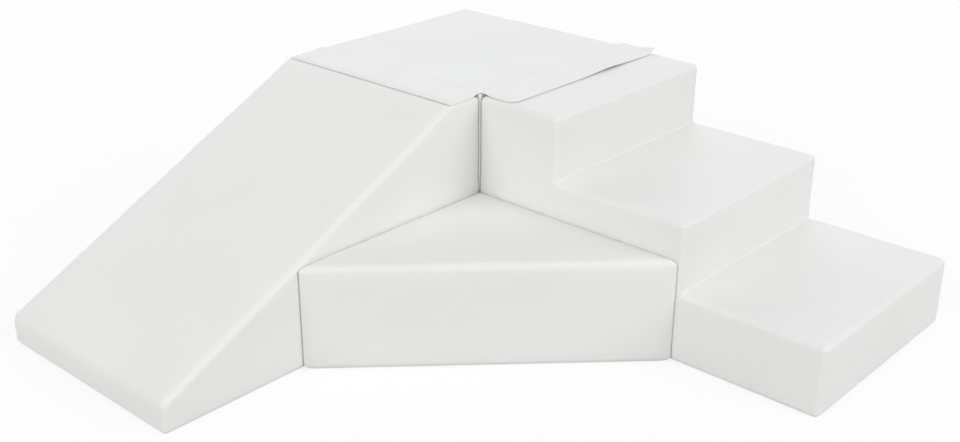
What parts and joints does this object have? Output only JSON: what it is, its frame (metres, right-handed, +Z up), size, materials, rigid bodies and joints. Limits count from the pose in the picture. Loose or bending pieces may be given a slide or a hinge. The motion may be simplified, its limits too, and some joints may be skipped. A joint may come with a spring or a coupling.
{
  "type": "soft play foam climber",
  "caption": "Corner climbing set of soft foam blocks: square platform, wedge slide, stepped stair and low triangular corner step, joined by sewn flaps.",
  "frame": {"origin": "middle of the whole set's floor plan, on the floor", "axes": "+Z up; the slide runs down towards -X, the stair down towards -Y, and the platform is in the +X +Y corner"},
  "size_m": [1.573, 1.573, 0.5128],
  "materials": {
    "leatherette": "satin",
    "foam": "matte",
    "base_cloth": "matte",
    "hook_tape": "matte",
    "loop_tape": "matte",
    "zip_tape": "matte",
    "zip_slider": "satin"
  },
  "bodies": {
    "platform": {"platform_foam_core": "foam", "platform_cover": "leatherette", "platform_base_panel": "base_cloth", "platform_zip_chain": "zip_tape", "slide_flap_seam_binding": "leatherette", "stair_flap_seam_binding": "leatherette"},
    "slide_flap": {"slide_flap": "leatherette", "slide_flap_hook_strip": "hook_tape"},
    "stair_flap": {"stair_flap": "leatherette", "stair_flap_hook_strip": "hook_tape"},
    "slide_block": {"slide_foam_core": "foam", "slide_cover": "leatherette", "slide_base_panel": "base_cloth", "slide_top_loop_strip": "loop_tape", "slide_side_loop_strip": "loop_tape", "slide_zip_chain": "zip_tape"},
    "stair_block": {"stair_foam_lower": "foam", "stair_foam_middle": "foam", "stair_foam_upper": "foam", "stair_cover": "leatherette", "stair_base_panel": "base_cloth", "stair_top_loop_strip": "loop_tape", "stair_side_loop_strip": "loop_tape", "stair_zip_chain": "zip_tape"},
    "corner_step": {"corner_foam_core": "foam", "corner_cover": "leatherette", "corner_base_panel": "base_cloth", "corner_hook_strip_slide_side": "hook_tape", "corner_hook_strip_stair_side": "hook_tape", "corner_zip_chain": "zip_tape"},
    "platform_slider": {"platform_zip_slider": "zip_slider"},
    "slide_slider": {"slide_zip_slider": "zip_slider"},
    "stair_slider": {"stair_zip_slider": "zip_slider"},
    "corner_slider": {"corner_zip_slider": "zip_slider"}
  },
  "joints": [
    {"name": "slide_flap_hinge", "type": "hinge", "parent": "platform", "child": "slide_flap", "pos_m": [0.18815, 0.48415, 0.51295], "axis": [0, 1, 0], "range_deg": [0, 180]},
    {"name": "stair_flap_hinge", "type": "hinge", "parent": "platform", "child": "stair_flap", "pos_m": [0.48415, 0.18815, 0.51525], "axis": [-1, 0, 0], "range_deg": [0, 180]},
    {"name": "slide_block_pull", "type": "slide", "parent": "platform", "child": "slide_block", "axis": [-1, 0, 0], "range_m": [0, 0.3]},
    {"name": "stair_block_pull", "type": "slide", "parent": "platform", "child": "stair_block", "axis": [0, -1, 0], "range_m": [0, 0.3]},
    {"name": "corner_step_pull", "type": "slide", "parent": "platform", "child": "corner_step", "axis": [-0.7071, -0.7071, 0], "range_m": [0, 0.3]},
    {"name": "platform_zip_pull", "type": "slide", "parent": "platform", "child": "platform_slider", "axis": [1, 0, 0], "range_m": [0, 0.488]},
    {"name": "slide_zip_pull", "type": "slide", "parent": "slide_block", "child": "slide_slider", "axis": [1, 0, 0], "range_m": [0, 0.588]},
    {"name": "stair_zip_pull", "type": "slide", "parent": "stair_block", "child": "stair_slider", "axis": [0, 1, 0], "range_m": [0, 0.588]},
    {"name": "corner_zip_pull", "type": "slide", "parent": "corner_step", "child": "corner_slider", "axis": [0, 1, 0], "range_m": [0, 0.368]}
  ]
}
